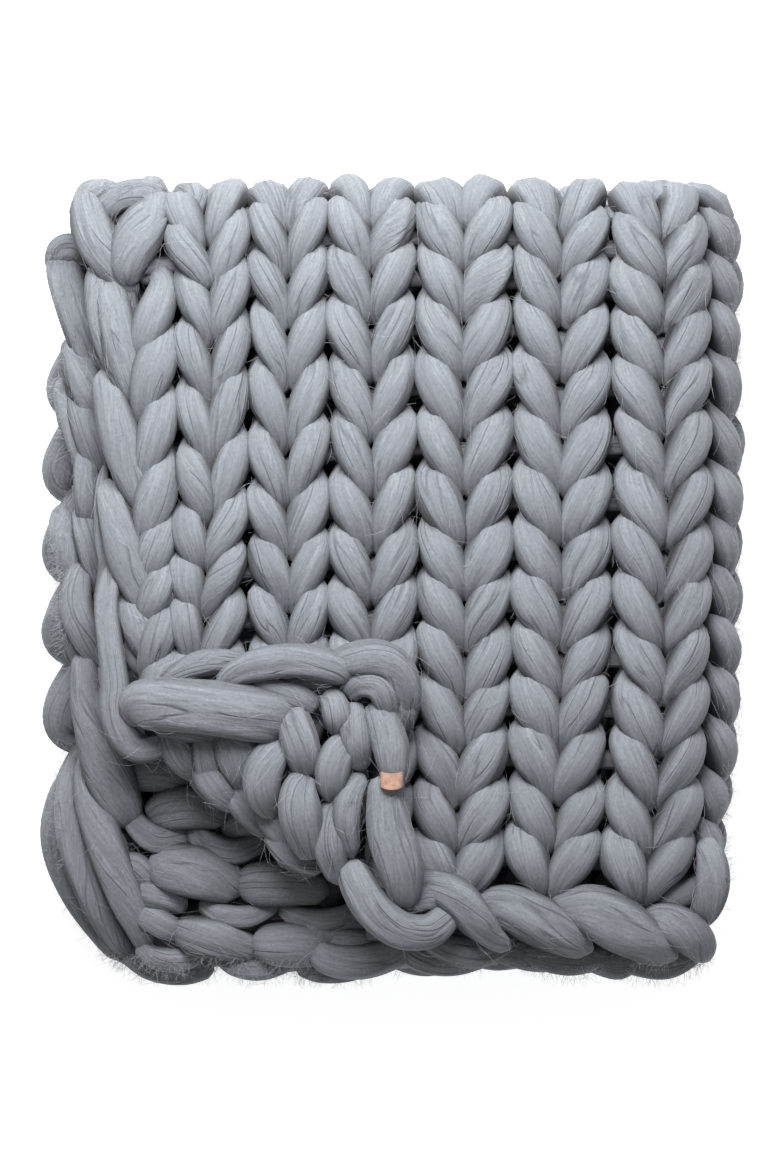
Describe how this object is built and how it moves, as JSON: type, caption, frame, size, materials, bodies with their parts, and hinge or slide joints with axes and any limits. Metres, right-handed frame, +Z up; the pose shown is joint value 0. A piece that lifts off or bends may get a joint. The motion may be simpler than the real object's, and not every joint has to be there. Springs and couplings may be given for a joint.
{
  "type": "throw blanket",
  "caption": "Thick hand-knit wool throw folded into a soft rectangular stack, with a corner of its top layer turned back and a small leather label.",
  "frame": {"origin": "centre of the pile's bounding box, on the surface it lies on", "axes": "+Z up out of the top layer, +Y towards the folded top edge, +X towards the folded right-hand side"},
  "size_m": [0.5174, 0.5978, 0.183],
  "materials": {
    "wool_knit": "soft matte unspun wool roving, cool grey",
    "label_leather": "smooth tan leather, bare"
  },
  "bodies": {
    "root": {"throw_knit": "wool_knit", "leather_label": "label_leather"}
  },
  "joints": []
}
